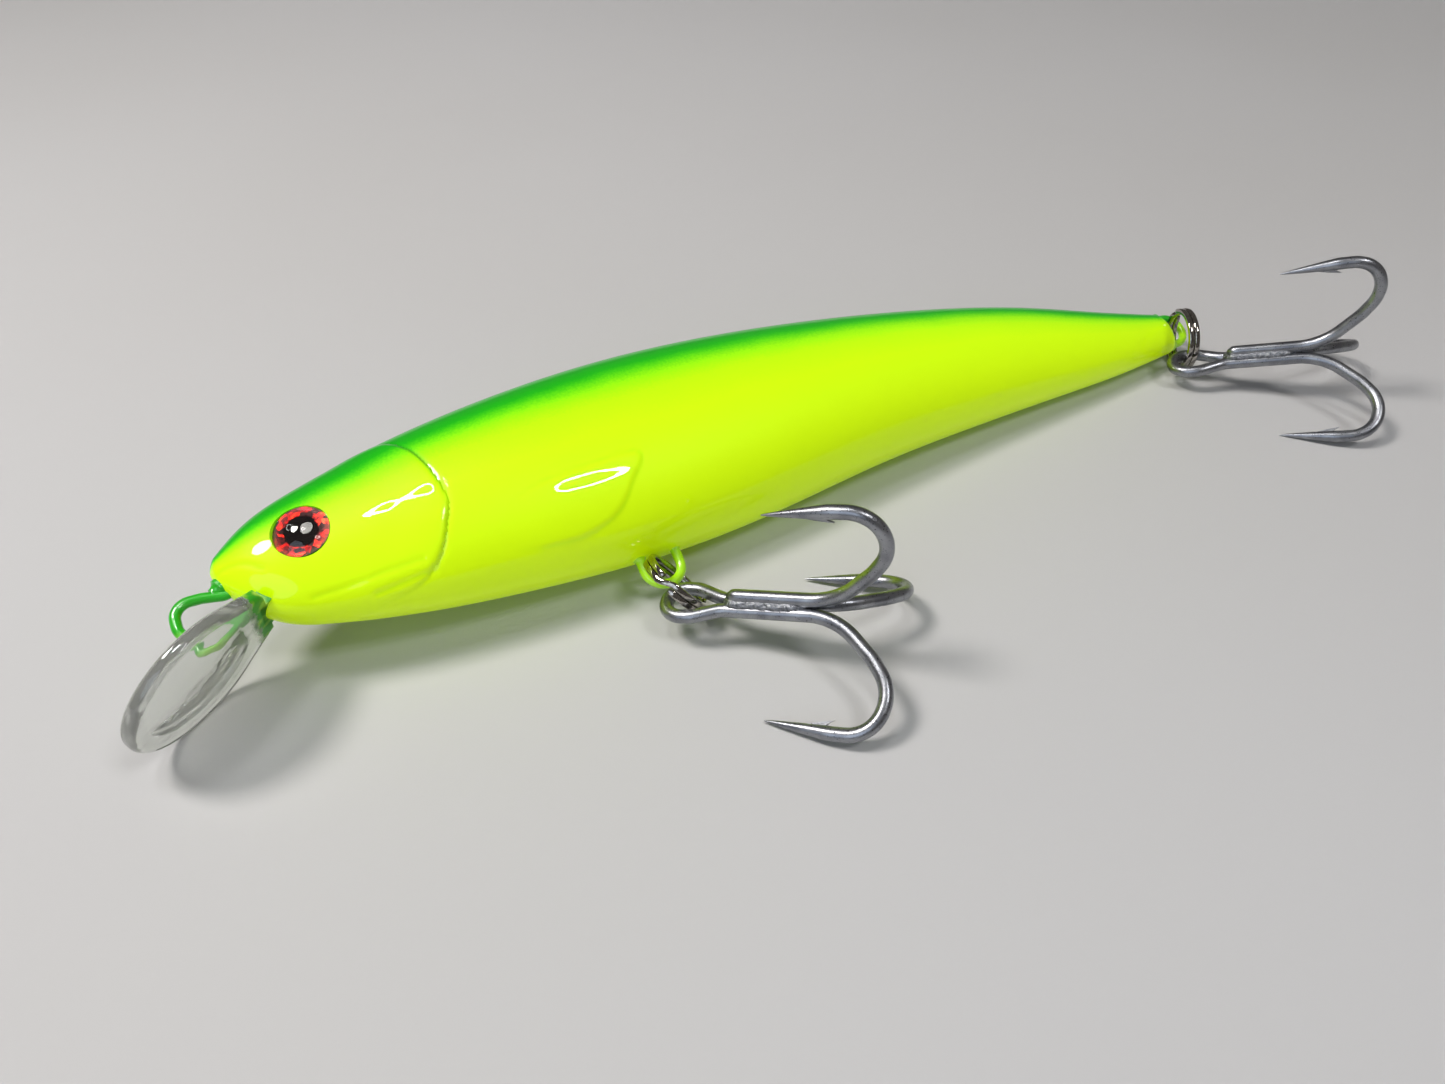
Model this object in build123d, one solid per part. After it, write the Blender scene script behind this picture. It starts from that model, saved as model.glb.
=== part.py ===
from build123d import *
import copy
import math
import os

# Crankbait lure, long minnow shape, in millimetres and degrees.
# Each piece is modelled upright: x runs from the nose back to the tail, y to the lure's right
# and z to its back. LYING then lays the lure on its right side, the way it rests.

# ---- Body
body_length = 161.5
back_height = 17.7
belly_depth = 14.0
body_width = 20.0
wall = 1.8
cavity_start = 26.0
cavity_end_margin = 13.0
cavity_station_gap = 5.0
end_round = 1.4
end_round_share = 0.85     # share of the end face's tightest curve that the rounding may take

# Side and top outlines: share of the length, of the back height, of the belly depth, of the width.
OUTLINE = [
    (0.000, 0.07, 0.10, 0.11),
    (0.025, 0.26, 0.47, 0.37),
    (0.072, 0.47, 0.74, 0.56),
    (0.143, 0.67, 0.88, 0.77),
    (0.235, 0.85, 0.97, 0.94),
    (0.347, 0.98, 1.00, 1.00),
    (0.470, 1.00, 0.88, 1.00),
    (0.593, 0.93, 0.67, 0.91),
    (0.715, 0.80, 0.54, 0.765),
    (0.827, 0.61, 0.46, 0.59),
    (0.920, 0.38, 0.39, 0.42),
    (1.000, 0.20, 0.28, 0.25),
]

# ---- Inside the body
rib_thickness = 1.6
front_rib_x = 46.5
mid_rib_x = 61.0
rear_rib_x = 78.0
tail_rib_x = 122.0
boss_radius = 2.3
peg_radius = 1.1
peg_length = 2.6
peg_clearance = 0.05
peg_depth_extra = 0.3
BOSSES = [(31.0, 8.5), (69.0, 12.0), (97.5, 8.0), (128.0, 2.5)]

# ---- Through-wire: line tie, belly hanger and tail loop are bent from one wire
wire_diameter = 1.4
wire_clearance = 0.05
line_tie_reach = 5.7
line_tie_height = 5.0
line_tie_drop = 1.3
line_tie_neck = 1.6
nose_wire_z = 0.25
nose_wire_x = 1.2
chin_wire_z = -5.0
chin_wire_x = 2.4
crown_wire_x = 10.3
crown_wire_z = 0.9
cheek_wire_x = 24.0
cheek_wire_z = -1.6
hanger_x = 55.3
hanger_width = 5.4
hanger_drop = 5.2
spine_wire_z = -2.4
tail_wire_x = 120.0
tail_wire_z = -1.9
tail_loop_reach = 4.6
tail_loop_width = 5.5
tail_loop_leg = 8.0
tight_bend = 1.5
long_bend = 12.0
round_bend = 0.98

# ---- Diving lip
lip_angle = 35.0
lip_root_x = 8.0
lip_root_z = -4.0
lip_centre_reach = 15.0
lip_radius = 10.4
lip_neck_reach = 4.0
lip_neck_width = 10.2
lip_thickness = 2.0
lip_edge_round = 0.7
dish_depth = 0.9
dish_radius = 8.0
tongue_half_width = 3.0
tongue_depth = 4.5
tongue_overlap = 1.0
tongue_clearance = 0.05

# ---- Eyes
eye_x = 11.4
eye_z = 0.3
eye_diameter = 7.2
eye_yaw = 13.0
eye_tilt = 5.0
eye_seat_depth = 1.1
foil_thickness = 0.3
lens_rim = 0.4
lens_crown = 1.3
eye_clearance = 0.05

# ---- Ballast and rattle balls
ballast_clearance = 0.05
ballast_socket = 0.8
front_ballast_diameter = 6.4
front_ballast_z = -7.4
rear_ballast_diameter = 5.6
rear_ballast_z = -7.6
rattle_clearance = 0.2
rattle_end_gap = 0.05
rattle_tube_wall = 1.2
# name, x, z, ball diameter
RATTLES = [("front", 38.0, 6.5, 6.0), ("middle", 87.5, 7.0, 6.0), ("rear", 108.0, 5.0, 5.0)]

# ---- Split rings: two touching coils of flat spring wire
ring_outer_diameter = 10.8
ring_coil_radial = 0.9
ring_coil_axial = 0.95
ring_groove = 0.25
ring_edge_round = 0.2

# ---- Treble hooks
hook_wire = 1.9
hook_eye_width = 7.2
hook_split = 15.0
hook_bend = 29.3
hook_gape = 16.9
hook_point = 12.8
point_length = 7.6
point_straight = 1.0
tip_diameter = 0.25
point_lean = 0.1
shank_flare = 5.5
bend_corner = 2.6
bend_skew = 1.6
barb_root = 2.2
barb_reach = 1.1
barb_rise = 0.75
barb_notch = 0.2
barb_width = 0.9
eye_neck = 5.2
eye_shoulder = 1.3
third_hook_start = 6.0
braze_gap = 0.1
braze_fill = 0.45
# Bend radii along one hook, from the shank to the point
HOOK_RADII = [9.0, 7.0, 5.5, 4.5, 6.0]
EYE_RADII = [4.0, 3.5]

# ---- How the lure lies: rolled from upright onto its right side, its head propped by the lip
roll = 24.7
pitch = 3.7
# Ring centre from its loop, and hook eye from the ring centre, in inner radii of the ring
belly_ring_shift = (0.06, -0.44, 0.30)
belly_ring_facing = (0.786, 0.081, 0.613)
belly_eye_shift = (-0.11, -0.83, 0.16)
belly_hook_heading = 41.6
belly_hook_rise = 10.1
tail_ring_shift = (-0.315, -0.406, 0.516)
tail_ring_facing = (0.908, -0.414, 0.057)
tail_eye_shift = (-0.590, -1.052, -0.212)
tail_hook_heading = 38.4
tail_hook_rise = 12.9


# ================================================================ outline of the body

def outline_at(x):
    """Back height, belly depth and half width of the body at x, straight between stations."""
    share = min(max(x / body_length, 0.0), 1.0)
    for low, high in zip(OUTLINE, OUTLINE[1:]):
        if share <= high[0]:
            t = (share - low[0]) / (high[0] - low[0])
            top, bottom, side = [a + (b - a) * t for a, b in zip(low[1:], high[1:])]
            return top * back_height, bottom * belly_depth, side * body_width / 2


def section(x, inset=0.0):
    """Elliptical cross-section of the body at x, drawn in by an inset."""
    top, bottom, side = outline_at(x)
    plane = Plane(origin=(x, 0, (top - bottom) / 2), x_dir=(0, 1, 0), z_dir=(1, 0, 0))
    return plane * Ellipse(side - inset, (top + bottom) / 2 - inset)


def body_solid():
    """The whole outer form, rounded at the tail."""
    form = loft([section(share * body_length) for share, *_ in OUTLINE])
    tail_edges = form.edges().filter_by_position(Axis.X, body_length - 0.01, body_length + 0.01)
    top, bottom, side = outline_at(body_length)
    tightest_curve = side ** 2 / ((top + bottom) / 2)
    return fillet(tail_edges, min(end_round, end_round_share * tightest_curve))


def cavity_solid():
    """The hollow inside the moulded shells."""
    cavity_end = body_length - cavity_end_margin
    inner = [share * body_length for share, *_ in OUTLINE]
    first = cavity_start + cavity_station_gap
    last = cavity_end - cavity_station_gap
    stations = [cavity_start] + [x for x in inner if first < x < last] + [cavity_end]
    return loft([section(x, wall) for x in stations])


def across(x, z, radius, half_length):
    """A cylinder that lies across the body, centred on its middle plane."""
    return Pos(x, 0, z) * Rot(90, 0, 0) * Cylinder(radius, 2 * half_length)


# ================================================================ through-wire

def wire_path():
    """Centre line of the one wire, in the middle plane from the line tie to the tail loop."""
    radius = wire_diameter / 2
    slope = math.tan(math.radians(lip_angle))
    tie_out = -line_tie_reach + radius
    tie_mid = lip_root_z - line_tie_drop
    tie_high = tie_mid + line_tie_height / 2
    tie_low = tie_mid - line_tie_height / 2
    tie_bend = (line_tie_height - wire_diameter / 2) / 2 * round_bend
    nose_end_x = nose_wire_x + line_tie_height
    nose_low_z = nose_wire_z - line_tie_height * slope
    hanger_front = hanger_x - hanger_width / 2
    hanger_rear = hanger_x + hanger_width / 2
    hanger_low = -outline_at(hanger_x)[1] - hanger_drop + radius
    hanger_bend = hanger_width / 2 * round_bend
    tail_out = body_length + tail_loop_reach - radius
    tail_half = tail_loop_width / 2
    tail_bend = tail_half * round_bend
    tail_root = body_length - tail_loop_leg
    points = [
        ((nose_end_x, nose_wire_z), None),
        ((nose_wire_x, nose_low_z), tight_bend),
        ((-line_tie_neck, tie_high), tight_bend),
        ((tie_out, tie_high), tie_bend),
        ((tie_out, tie_low), tie_bend),
        ((-line_tie_neck, tie_low), tight_bend),
        ((chin_wire_x, chin_wire_z), tight_bend),
        ((crown_wire_x, crown_wire_z), 3 * wire_diameter),
        ((cheek_wire_x, cheek_wire_z), long_bend),
        ((hanger_front, spine_wire_z), tight_bend),
        ((hanger_front, hanger_low), hanger_bend),
        ((hanger_rear, hanger_low), hanger_bend),
        ((hanger_rear, spine_wire_z), tight_bend),
        ((tail_wire_x, tail_wire_z), long_bend),
        ((tail_root, -tail_half), tail_loop_leg),
        ((tail_out, -tail_half), tail_bend),
        ((tail_out, tail_half), tail_bend),
        ((tail_root, tail_half), None),
    ]
    corners = [Vector(x, 0, z) for (x, z), _ in points]
    radii = [r for _, r in points[1:-1]]
    return FilletPolyline(*corners, radius=radii)


def tube(path, diameter):
    """A round bar along a path."""
    return sweep(Plane(origin=path @ 0, z_dir=path % 0) * Circle(diameter / 2), path=path)


def through_wire():
    return tube(wire_path(), wire_diameter)


# ================================================================ diving lip

def lip_plane(offset=0.0):
    """Plane of the lip: x forward and down along it, y to the left, z towards the belly side."""
    angle = math.radians(lip_angle)
    forward = (-math.cos(angle), 0, -math.sin(angle))
    under = (math.sin(angle), 0, -math.cos(angle))
    return Plane(origin=(lip_root_x, 0, lip_root_z), x_dir=forward, z_dir=under).offset(offset)


def lip_outline():
    """Shovel shape: a round front on a neck that widens out of the chin."""
    neck = Line((lip_neck_reach, -lip_neck_width / 2), (lip_neck_reach, lip_neck_width / 2))
    front = CenterArc((lip_centre_reach, 0), lip_radius, 0, 360)
    return make_hull([neck, front])


def tongue(clearance=0.0):
    """The part of the lip that is glued into the head."""
    front = lip_neck_reach + tongue_overlap
    back = -tongue_depth - clearance
    thickness = lip_thickness + 2 * clearance
    block = Box(front - back, 2 * (tongue_half_width + clearance), thickness)
    return lip_plane() * (Pos((front + back) / 2, 0, 0) * block)


def diving_lip():
    blade = extrude(lip_plane(-lip_thickness / 2) * lip_outline(), lip_thickness)
    corners = [edge for edge in blade.edges() if abs(edge.length - lip_thickness) < 0.01]
    root = [edge for edge in blade.edges() if abs(edge.length - lip_neck_width) < 0.01]
    rim = [edge for edge in blade.edges() if edge not in corners + root]
    blade = fillet(rim, lip_edge_round)
    ball = (dish_radius ** 2 + dish_depth ** 2) / (2 * dish_depth)
    dish_plane = lip_plane(-lip_thickness / 2)
    dish = dish_plane * (Pos(lip_centre_reach, 0, dish_depth - ball) * Sphere(ball))
    return blade + tongue() - dish


# ================================================================ eyes

def eye_plane(side, depth=0.0):
    """Plane of an eye's seat, facing out; side is -1 on the left and 1 on the right."""
    top, bottom, half = outline_at(eye_x)
    middle = (top - bottom) / 2
    reach = half * math.sqrt(1 - ((eye_z - middle) / ((top + bottom) / 2)) ** 2)
    yaw = math.radians(eye_yaw)
    tilt = math.radians(eye_tilt)
    out = (-math.sin(yaw), side * math.cos(yaw) * math.cos(tilt), math.sin(tilt))
    return Plane(origin=(eye_x, side * reach, eye_z), z_dir=out).offset(-depth)


def eye_seat(side):
    """Round recess moulded into the head for one eye."""
    radius = eye_diameter / 2 + eye_clearance
    return extrude(eye_plane(side, eye_seat_depth) * Circle(radius), eye_seat_depth + 2)


def eye_foil(side):
    return extrude(eye_plane(side, eye_seat_depth) * Circle(eye_diameter / 2), foil_thickness)


def eye_lens(side):
    """Clear domed cap that covers the foil."""
    radius = eye_diameter / 2
    ball = (radius ** 2 + lens_crown ** 2) / (2 * lens_crown)
    seat = eye_plane(side, eye_seat_depth - foil_thickness)
    rim = extrude(seat * Circle(radius), lens_rim)
    dome = seat * (Pos(0, 0, lens_rim + lens_crown - ball) * Sphere(ball))
    shoulder = extrude(seat.offset(lens_rim) * Circle(radius), lens_crown + 1)
    return rim + (dome & shoulder)


# ================================================================ ballast and rattle balls

def ballast(front_x, rear_x, diameter, z, clearance=0.0):
    """A slug that lies along the belly, its ends in sockets in two ribs."""
    start = front_x + rib_thickness / 2 - ballast_socket
    end = rear_x - rib_thickness / 2 + ballast_socket
    slug = Cylinder(diameter / 2 + clearance, end - start - 2 * (ballast_clearance - clearance))
    return Pos((start + end) / 2, 0, z) * Rot(0, 90, 0) * slug


def front_ballast(clearance=0.0):
    start = cavity_start - rib_thickness / 2
    return ballast(start, front_rib_x, front_ballast_diameter, front_ballast_z, clearance)


def rear_ballast(clearance=0.0):
    return ballast(mid_rib_x, rear_rib_x, rear_ballast_diameter, rear_ballast_z, clearance)


def rattle_bore(x, z, diameter):
    """Half length of a rattle tube's bore: as deep as the wall's least thickness allows."""
    radius = diameter / 2 + rattle_clearance
    reaches = []
    for dx in (-radius, radius):
        for dz in (-radius, radius):
            top, bottom, half = outline_at(x + dx)
            height = (z + dz - (top - bottom) / 2) / ((top + bottom) / 2)
            reaches.append(half * math.sqrt(1 - height ** 2))
    return min(reaches) - wall * 0.7


def rattle_rest(x, z, diameter):
    """Where a ball's centre lies when the lure is on its right side."""
    return rattle_bore(x, z, diameter) - diameter / 2 - rattle_end_gap


# ================================================================ moulded body shells

def body_with_cells():
    """The body with its cavity, ribs, bosses, rattle tubes, seats and slots, before it is split."""
    hollow = cavity_solid()
    for x in (front_rib_x, mid_rib_x, rear_rib_x, tail_rib_x):
        hollow -= Pos(x, 0, 0) * Box(rib_thickness, body_width, 2 * back_height)
    for x, z in BOSSES:
        hollow -= across(x, z, boss_radius, body_width)
    for _, x, z, diameter in RATTLES:
        hollow -= across(x, z, diameter / 2 + rattle_clearance + rattle_tube_wall, body_width)
    form = body_solid() - hollow
    for _, x, z, diameter in RATTLES:
        form -= across(x, z, diameter / 2 + rattle_clearance, rattle_bore(x, z, diameter))
    form -= front_ballast(ballast_clearance)
    form -= rear_ballast(ballast_clearance)
    form -= tube(wire_path(), wire_diameter + 2 * wire_clearance)
    form -= tongue(tongue_clearance)
    form -= diving_lip()
    form -= eye_seat(-1)
    form -= eye_seat(1)
    return form


def half_shells():
    """Left shell with alignment pegs, right shell with their holes."""
    form = body_with_cells()
    left = split(form, bisect_by=Plane.XZ, keep=Keep.TOP)
    right = split(form, bisect_by=Plane.XZ, keep=Keep.BOTTOM)
    for x, z in BOSSES:
        peg = Pos(x, 0, z) * Rot(90, 0, 0) * Cylinder(peg_radius, 2 * peg_length)
        hole = across(x, z, peg_radius + peg_clearance, peg_length + peg_depth_extra)
        left += peg
        right -= hole
    return left, right


# ================================================================ split ring and treble hook

def split_ring():
    """Double coil on the z axis, its two coils parted by a shallow groove."""
    mid_radius = (ring_outer_diameter - ring_coil_radial) / 2
    core = Rectangle(ring_coil_radial - ring_groove, 2 * ring_coil_axial - 2 * ring_edge_round)
    coil = RectangleRounded(ring_coil_radial, ring_coil_axial, ring_edge_round)
    profile = Plane.XZ * (Pos(mid_radius, 0) * core)
    for level in (-ring_coil_axial / 2, ring_coil_axial / 2):
        profile += Plane.XZ * (Pos(mid_radius, level) * coil)
    return revolve(profile, Axis.Z)


def shank_offset():
    """Distance of each of the three shanks from the axis of the treble."""
    return (hook_wire + braze_gap) / math.sqrt(3)


def hook_leg(angle):
    """Corners of one hook's centre line, from the straight shank round the bend to its point."""
    near = shank_offset()
    outer = hook_gape - hook_wire / 2
    low = hook_bend - hook_wire / 2
    point_root = hook_point + point_length
    profile = [
        (hook_split + shank_flare, near),
        (low - bend_corner, near + 2 * bend_corner),
        (low, (near + outer) / 2 + bend_skew),
        (low - hook_wire, outer),
        (point_root + point_straight, outer),
        (point_root, outer - point_lean * point_straight),
    ]
    return [Vector(r * math.cos(angle), r * math.sin(angle), -s) for s, r in profile]


def hook_end(angle):
    """Ground conical point, and the barb cut up from the side that faces the shank."""
    before, base = hook_leg(angle)[-2:]
    inward = Vector(-math.cos(angle), -math.sin(angle), -point_lean).normalized()
    along = (base - before).normalized()
    plane = Plane(origin=base, x_dir=inward, z_dir=along)
    cone = loft([plane * Circle(hook_wire / 2), plane.offset(point_length) * Circle(tip_diameter / 2)])
    radius = hook_wire / 2
    spur = [
        (0, barb_root),
        (radius * 0.7, barb_root),
        (radius + barb_rise, -barb_reach),
        (radius * 0.8, -barb_notch),
        (0, -barb_notch),
    ]
    side = Plane(origin=base, x_dir=inward, z_dir=inward.cross(along))
    return cone + extrude(side * Polygon(*spur, align=None), barb_width / 2, both=True)


def double_hook():
    """Two hooks and the eye, bent from one wire."""
    left_angle = math.radians(210)
    right_angle = math.radians(-30)
    neck = hook_leg(right_angle)[0]
    half = (hook_eye_width - hook_wire) / 2
    eye = [(neck.X, -eye_neck), (half, -eye_shoulder), (half, half)]
    rise = [Vector(x, neck.Y, z) for x, z in eye]
    fall = [Vector(-x, neck.Y, z) for x, z in reversed(eye)]
    corners = hook_leg(right_angle)[::-1] + rise + fall + hook_leg(left_angle)
    bends = EYE_RADII + [round_bend * half]
    path = FilletPolyline(*corners, radius=HOOK_RADII[::-1] + bends + bends[::-1] + HOOK_RADII)
    return tube(path, hook_wire) + hook_end(right_angle) + hook_end(left_angle)


def single_hook():
    """The third hook, brazed into the groove of the other two."""
    angle = math.radians(90)
    leg = hook_leg(angle)
    start = Vector(leg[0].X, leg[0].Y, -third_hook_start)
    return tube(FilletPolyline(start, *leg, radius=HOOK_RADII), hook_wire) + hook_end(angle)


def braze():
    """Solder that fills the grooves between the three shanks."""
    near = shank_offset()
    length = hook_split - third_hook_start
    fill = Pos(0, 0, -third_hook_start - length / 2) * Cylinder(near + braze_fill, length)
    for angle in (-30, 90, 210):
        fill -= Rot(0, 0, angle) * Pos(near, 0, -hook_split) * Cylinder(hook_wire / 2, 3 * hook_split)
    return fill


# ================================================================ laying the pieces down

LYING = Rot(0, pitch, 0) * Rot(roll - 90, 0, 0)
RING_REACH = ring_outer_diameter / 2 - ring_coil_radial


def laid(x, y, z):
    """A point of the upright lure, once the lure lies on its side."""
    return (LYING * Pos(x, y, z)).position


def belly_loop():
    return laid(hanger_x, 0, -outline_at(hanger_x)[1] - hanger_drop + wire_diameter / 2)


def tail_loop():
    out = body_length + tail_loop_reach - wire_diameter / 2 - tail_loop_width / 2
    return laid(out, 0, -tail_loop_width / 2)


def ring_plane(loop, shift, facing):
    return Plane(origin=loop + Vector(*shift) * RING_REACH, z_dir=facing)


def hook_plane(loop, ring_shift, eye_shift, heading, rise):
    """Plane at a hook's eye; the shank runs along its -z, the third hook stands up along its y."""
    eye = loop + (Vector(*ring_shift) + Vector(*eye_shift)) * RING_REACH
    turn = math.radians(heading)
    climb = math.radians(rise)
    shank = Vector(math.cos(turn) * math.cos(climb), -math.sin(turn) * math.cos(climb), math.sin(climb))
    level = Vector(-math.sin(turn), -math.cos(turn), 0)
    return Plane(origin=eye, x_dir=level, z_dir=-shank)


def hardware():
    """Split rings and treble hooks, as they lie beside the body."""
    belly = belly_loop()
    tail = tail_loop()
    rings = {
        "belly": ring_plane(belly, belly_ring_shift, belly_ring_facing),
        "tail": ring_plane(tail, tail_ring_shift, tail_ring_facing),
    }
    hooks = {
        "belly": hook_plane(belly, belly_ring_shift, belly_eye_shift, belly_hook_heading, belly_hook_rise),
        "tail": hook_plane(tail, tail_ring_shift, tail_eye_shift, tail_hook_heading, tail_hook_rise),
    }
    pieces = {}
    for place in ("belly", "tail"):
        pieces[place + "_split_ring"] = rings[place] * split_ring()
        pieces[place + "_double_hook"] = hooks[place] * double_hook()
        pieces[place + "_single_hook"] = hooks[place] * single_hook()
        pieces[place + "_hook_braze"] = hooks[place] * braze()
    return pieces


def lure():
    """Every piece by name, lying down."""
    left, right = half_shells()
    upright = {
        "left_body_shell": left,
        "right_body_shell": right,
        "diving_lip": diving_lip(),
        "through_wire": through_wire(),
        "left_eye_foil": eye_foil(-1),
        "right_eye_foil": eye_foil(1),
        "left_eye_lens": eye_lens(-1),
        "right_eye_lens": eye_lens(1),
        "front_ballast": front_ballast(),
        "rear_ballast": rear_ballast(),
    }
    for name, x, z, diameter in RATTLES:
        ball = Sphere(diameter / 2)
        upright[name + "_rattle_ball"] = Pos(x, rattle_rest(x, z, diameter), z) * ball
    pieces = {name: LYING * solid for name, solid in upright.items()}
    pieces.update(hardware())
    return pieces


def resting_shift(pieces):
    """Move that puts the lowest point on z = 0 and the middle of the box over the origin."""
    box = Compound(children=[copy.copy(piece) for piece in pieces.values()]).bounding_box()
    return Pos(-box.center().X, -box.center().Y, -box.min.Z)


def main():
    os.makedirs("parts", exist_ok=True)
    pieces = lure()
    shift = resting_shift(pieces)
    for name, piece in pieces.items():
        export_step(shift * piece, f"parts/{name}.step")


main()
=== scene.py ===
import math

import bmesh
import bpy
import numpy as np
from mathutils import Matrix, Vector


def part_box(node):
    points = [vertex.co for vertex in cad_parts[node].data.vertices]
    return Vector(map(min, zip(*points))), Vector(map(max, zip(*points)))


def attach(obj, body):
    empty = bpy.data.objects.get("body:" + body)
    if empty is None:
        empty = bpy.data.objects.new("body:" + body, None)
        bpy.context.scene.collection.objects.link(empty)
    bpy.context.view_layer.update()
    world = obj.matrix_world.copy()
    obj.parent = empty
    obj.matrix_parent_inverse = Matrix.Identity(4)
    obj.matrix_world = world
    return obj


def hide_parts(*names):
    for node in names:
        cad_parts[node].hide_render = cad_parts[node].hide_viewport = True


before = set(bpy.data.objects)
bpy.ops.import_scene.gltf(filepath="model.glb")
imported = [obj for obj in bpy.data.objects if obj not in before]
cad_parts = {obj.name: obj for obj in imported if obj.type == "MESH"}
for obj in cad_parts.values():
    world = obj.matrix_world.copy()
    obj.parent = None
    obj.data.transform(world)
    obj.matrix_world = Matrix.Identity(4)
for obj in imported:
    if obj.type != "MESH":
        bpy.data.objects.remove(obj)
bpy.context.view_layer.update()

MM = 0.001

# ---- The lure upright: x from the nose to the tail, y to its right, z to its back, in mm.
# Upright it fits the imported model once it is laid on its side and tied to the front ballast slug.
ROLL = math.radians(24.7)
PITCH = math.radians(3.7)
LYING = Matrix.Rotation(PITCH, 4, "Y") @ Matrix.Rotation(ROLL - math.pi / 2, 4, "X")
FRONT_BALLAST_MIDDLE = Vector((35.85, 0, -7.4))


def middle(node):
    """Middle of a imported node's box, in the row frame, in metres."""
    low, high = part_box(node)
    return (low + high) / 2


UPRIGHT = (Matrix.Translation(middle("front_ballast")) @ LYING
           @ Matrix.Translation(-FRONT_BALLAST_MIDDLE * MM))

BODY_LENGTH = 161.5
BACK_HEIGHT = 17.7
BELLY_DEPTH = 14.0
HALF_WIDTH = 10.0
# Share of the length, of the back height, of the belly depth, of the half width
OUTLINE = np.array([
    (0.000, 0.07, 0.10, 0.11),
    (0.025, 0.26, 0.47, 0.37),
    (0.072, 0.47, 0.74, 0.56),
    (0.143, 0.67, 0.88, 0.77),
    (0.235, 0.85, 0.97, 0.94),
    (0.347, 0.98, 1.00, 1.00),
    (0.470, 1.00, 0.88, 1.00),
    (0.593, 0.93, 0.67, 0.91),
    (0.715, 0.80, 0.54, 0.765),
    (0.827, 0.61, 0.46, 0.59),
    (0.920, 0.38, 0.39, 0.42),
    (1.000, 0.20, 0.28, 0.25),
])


# ================================================================ mesh helpers

def spline(xs, ys, x):
    """Natural cubic spline through the points (xs, ys), read at x."""
    gaps = np.diff(xs)
    slopes = np.diff(ys) / gaps
    count = len(xs)
    matrix = np.eye(count)
    right = np.zeros(count)
    for i in range(1, count - 1):
        matrix[i, i - 1:i + 2] = gaps[i - 1], 2 * (gaps[i - 1] + gaps[i]), gaps[i]
        right[i] = 6 * (slopes[i] - slopes[i - 1])
    bend = np.linalg.solve(matrix, right)
    i = np.clip(np.searchsorted(xs, x) - 1, 0, count - 2)
    t = x - xs[i]
    cubic = (bend[i + 1] - bend[i]) / (6 * gaps[i])
    linear_part = slopes[i] - gaps[i] * (2 * bend[i] + bend[i + 1]) / 6
    return ys[i] + t * linear_part + t * t * bend[i] / 2 + t ** 3 * cubic


def smooth_step(t):
    """Eases from 0 to 1 as t goes from 0 to 1."""
    t = np.clip(t, 0, 1)
    return t * t * (3 - 2 * t)


def rounded_path(corners, radii, step=0.25):
    """Points along straight runs joined by arcs of the given radii."""
    corners = [np.array(c, float) for c in corners]
    points = [corners[0]]
    for before, corner, after, radius in zip(corners, corners[1:], corners[2:], radii):
        back = (before - corner) / np.linalg.norm(before - corner)
        ahead = (after - corner) / np.linalg.norm(after - corner)
        half_turn = (math.pi - math.acos(np.clip(back @ ahead, -1, 1))) / 2
        reach = radius * math.tan(half_turn)
        inward = (back + ahead) / np.linalg.norm(back + ahead)
        centre = corner + inward * radius / math.cos(half_turn)
        start, end = corner + back * reach - centre, corner + ahead * reach - centre
        parts = max(4, math.ceil(2 * half_turn * radius / step))
        for k in range(parts + 1):
            t = k / parts
            a = math.sin((1 - t) * 2 * half_turn) / math.sin(2 * half_turn)
            b = math.sin(t * 2 * half_turn) / math.sin(2 * half_turn)
            points.append(centre + a * start + b * end)
    points.append(corners[-1])
    dense = [points[0]]
    for a, b in zip(points, points[1:]):
        parts = max(1, math.ceil(np.linalg.norm(b - a) / (3 * step)))
        dense += [a + (b - a) * k / parts for k in range(1, parts + 1)]
    return np.array(dense)


def angles(sides):
    """Evenly spaced angles round a full turn."""
    return [2 * math.pi * k / sides for k in range(sides)]


def lengths_along(path):
    """Length of a path up to each of its points."""
    return np.concatenate([[0], np.cumsum(np.linalg.norm(np.diff(path, axis=0), axis=1))])


def straight(start, end, count=24):
    """Points on a straight run, with its start left out."""
    return [start + (end - start) * t for t in np.linspace(0, 1, count)[1:]]


def quads(rows, sides):
    """Faces between neighbouring closed rows of points."""
    return [(row * sides + k, row * sides + (k + 1) % sides, (row + 1) * sides + (k + 1) % sides,
             (row + 1) * sides + k) for row in range(rows - 1) for k in range(sides)]


def capped(points, rows, sides):
    """A closed bar from its rows of points, with a face at each end."""
    last = (rows - 1) * sides
    return points, quads(rows, sides) + [tuple(reversed(range(sides))), tuple(range(last, last + sides))]


def with_poles(points, poles, rows, sides):
    """A closed form from its rows of points, ending in a fan of faces at each of two poles."""
    faces = quads(rows, sides)
    first, last, base = len(points), len(points) + 1, (rows - 1) * sides
    for k in range(sides):
        faces.append((first, (k + 1) % sides, k))
        faces.append((last, base + k, base + (k + 1) % sides))
    return np.concatenate([points, poles]), faces


def tube(path, radii, sides=24):
    """Closed round bar along a path, with a radius at each of its points."""
    tangents = np.gradient(path, axis=0)
    tangents /= np.linalg.norm(tangents, axis=1)[:, None]
    across = np.cross(tangents[0], (0.3, 0.5, 0.81))
    points = []
    for centre, tangent, radius in zip(path, tangents, radii):
        across = across - tangent * (across @ tangent)
        across /= np.linalg.norm(across)
        other = np.cross(tangent, across)
        points += [centre + radius * (math.cos(angle) * across + math.sin(angle) * other)
                   for angle in angles(sides)]
    return capped(points, len(path), sides)


def joined(*shapes):
    """Several (points, faces) shapes as one."""
    points, faces = [], []
    for more_points, more_faces in shapes:
        start = len(points)
        points += [tuple(p) for p in more_points]
        faces += [tuple(start + i for i in face) for face in more_faces]
    return points, faces


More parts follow.
